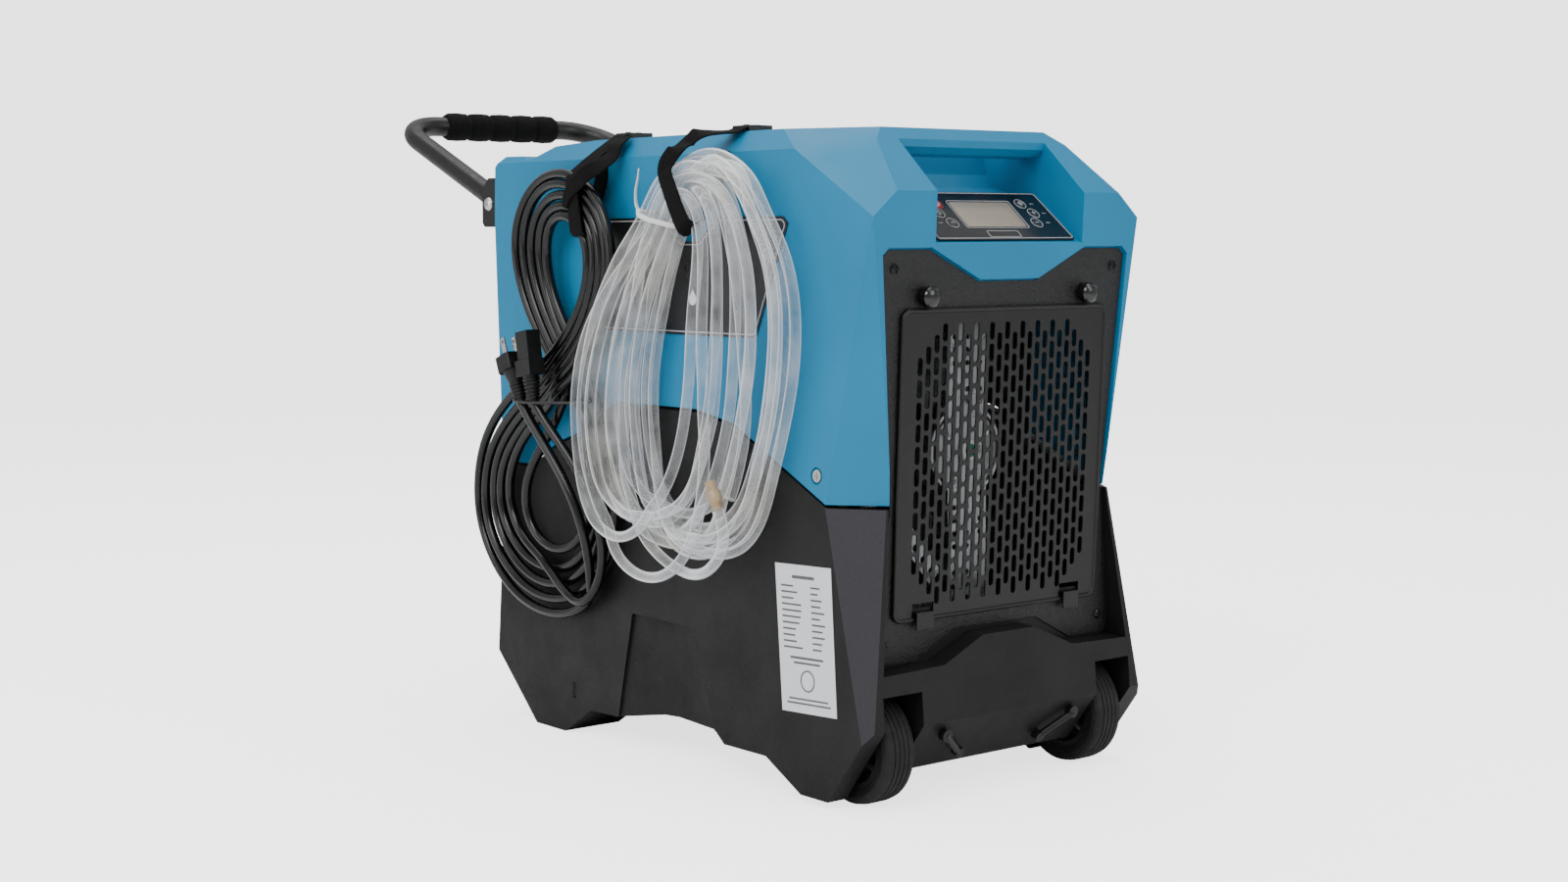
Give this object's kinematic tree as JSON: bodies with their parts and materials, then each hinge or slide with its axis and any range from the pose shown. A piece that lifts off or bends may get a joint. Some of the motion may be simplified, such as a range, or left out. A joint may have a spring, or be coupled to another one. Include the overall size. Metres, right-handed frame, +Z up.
{
  "type": "dehumidifier",
  "caption": "Portable restoration dehumidifier with carry bar, folding U-handle, front wheels, tilting inlet grille, push buttons and coiled cord and drain hose.",
  "frame": {"origin": "middle of the footprint on the floor, measured without the cord and hose coils", "axes": "+Y from the front face towards the handle, +Z up, +X to the right seen from the front"},
  "size_m": [0.401, 0.8649, 0.6371],
  "materials": {
    "blue_shell": "fine moulded texture",
    "black_base": "fine moulded texture",
    "black_powder_coat": "textured powder coat",
    "black_screws": "black oxide",
    "bright_screws": "zinc plated",
    "knob_black": "glossy",
    "bezel_black": "gloss overlay with a thin silver outline",
    "lcd": "clear window over a grey-green display",
    "button_red": "domed film",
    "button_black": "domed film",
    "hub_black": "moulded",
    "tyre": "ribbed rubber",
    "foam": "closed cell foam",
    "webbing": "hook and loop",
    "cord_jacket": "smooth PVC jacket",
    "blade_brass": "plated",
    "tie_black": "moulded",
    "hose_clear": "clear vinyl",
    "tie_white": "nylon",
    "fitting": "moulded",
    "label_white": "printed film",
    "plate_black": "film with a thin silver outline",
    "drain_white": "moulded",
    "galvanised": "galvanised",
    "fan_black": "moulded",
    "coil_fins": "mill",
    "compressor_paint": "semi gloss",
    "mount_rubber": "moulded",
    "copper": "drawn copper",
    "pump_grey": "moulded",
    "board_green": "solder mask"
  },
  "bodies": {
    "shell": {"upper_housing": "blue_shell", "lower_housing": "black_base", "front_panel": "black_powder_coat", "grille_clips": "black_powder_coat", "panel_screws": "black_screws", "housing_screws": "bright_screws", "control_bezel": "bezel_black", "lcd_window": "lcd", "axle": "bright_screws", "axle_washers": "bright_screws", "axle_braces": "black_powder_coat", "handle_brackets": "black_powder_coat", "handle_bolts": "bright_screws", "strap_cord": "webbing", "strap_hose": "webbing", "strap_anchors": "black_base", "cord_hank": "cord_jacket", "cord_plug": "cord_jacket", "plug_blades": "blade_brass", "cord_connector": "cord_jacket", "cord_tie": "tie_black", "hose_coil": "hose_clear", "hose_tie": "tie_white", "hose_fitting": "fitting", "rating_label": "label_white", "side_plate": "plate_black", "outlet_grille": "black_base", "power_inlet": "black_base", "drain_outlet": "drain_white", "base_pan": "galvanised", "fan_strap": "bright_screws", "fan_motor": "bright_screws", "fan_shroud": "fan_black", "evaporator_coil": "coil_fins", "condenser_coil": "coil_fins", "compressor": "compressor_paint", "compressor_mounts": "mount_rubber", "accumulator": "compressor_paint", "refrigerant_pipes": "copper", "condensate_pump": "pump_grey", "run_capacitor": "coil_fins", "control_board": "board_green"},
    "wheel_left": {"wheel_hub_left": "hub_black", "tyre_left": "tyre"},
    "wheel_right": {"wheel_hub_right": "hub_black", "tyre_right": "tyre"},
    "handle": {"handle_tube": "black_powder_coat", "handle_grip": "foam"},
    "knob_left": {"thumbscrew_left": "knob_black"},
    "knob_right": {"thumbscrew_right": "knob_black"},
    "grille": {"inlet_grille": "black_powder_coat", "grille_rim": "black_powder_coat"},
    "fan": {"fan_impeller": "fan_black"},
    "button_power_body": {"button_power": "button_red"},
    "button_left_upper_body": {"button_left_upper": "button_black"},
    "button_left_lower_body": {"button_left_lower": "button_black"},
    "button_right_top_body": {"button_right_top": "button_black"},
    "button_right_upper_body": {"button_right_upper": "button_black"},
    "button_right_lower_body": {"button_right_lower": "button_black"}
  },
  "joints": [
    {"name": "wheel_left_spin", "type": "hinge", "parent": "shell", "child": "wheel_left", "pos_m": [-0.11001, -0.37727, 0.05], "axis": [1, 0, 0], "continuous": true},
    {"name": "wheel_right_spin", "type": "hinge", "parent": "shell", "child": "wheel_right", "pos_m": [0.14999, -0.37727, 0.05], "axis": [1, 0, 0], "continuous": true},
    {"name": "handle_fold", "type": "hinge", "parent": "shell", "child": "handle", "pos_m": [0.01999, 0.19873, 0.53], "axis": [1, 0, 0], "range_deg": [0, 70]},
    {"name": "thumbscrew_left_turn", "type": "hinge", "parent": "shell", "child": "knob_left", "pos_m": [-0.07751, -0.41968, 0.44353], "axis": [0, 0.9989, 0.046], "continuous": true},
    {"name": "thumbscrew_right_turn", "type": "hinge", "parent": "shell", "child": "knob_right", "pos_m": [0.11749, -0.41968, 0.44353], "axis": [0, 0.9989, 0.046], "continuous": true},
    {"name": "grille_tilt", "type": "hinge", "parent": "shell", "child": "grille", "pos_m": [0.01999, -0.40901, 0.16272], "axis": [1, 0, 0], "range_deg": [0, 25]},
    {"name": "fan_spin", "type": "hinge", "parent": "shell", "child": "fan", "pos_m": [0.03399, -0.30127, 0.3], "axis": [0, 1, 0], "continuous": true},
    {"name": "button_power_press", "type": "slide", "parent": "shell", "child": "button_power_body", "axis": [0, 0.6388, -0.7694], "range_m": [0, 0.0005], "stiffness_N_per_m": 1500, "springref_m": -0.0004},
    {"name": "button_left_upper_press", "type": "slide", "parent": "shell", "child": "button_left_upper_body", "axis": [0, 0.6388, -0.7694], "range_m": [0, 0.0005], "stiffness_N_per_m": 1500, "springref_m": -0.0004},
    {"name": "button_left_lower_press", "type": "slide", "parent": "shell", "child": "button_left_lower_body", "axis": [0, 0.6388, -0.7694], "range_m": [0, 0.0005], "stiffness_N_per_m": 1500, "springref_m": -0.0004},
    {"name": "button_right_top_press", "type": "slide", "parent": "shell", "child": "button_right_top_body", "axis": [0, 0.6388, -0.7694], "range_m": [0, 0.0005], "stiffness_N_per_m": 1500, "springref_m": -0.0004},
    {"name": "button_right_upper_press", "type": "slide", "parent": "shell", "child": "button_right_upper_body", "axis": [0, 0.6388, -0.7694], "range_m": [0, 0.0005], "stiffness_N_per_m": 1500, "springref_m": -0.0004},
    {"name": "button_right_lower_press", "type": "slide", "parent": "shell", "child": "button_right_lower_body", "axis": [0, 0.6388, -0.7694], "range_m": [0, 0.0005], "stiffness_N_per_m": 1500, "springref_m": -0.0004}
  ]
}
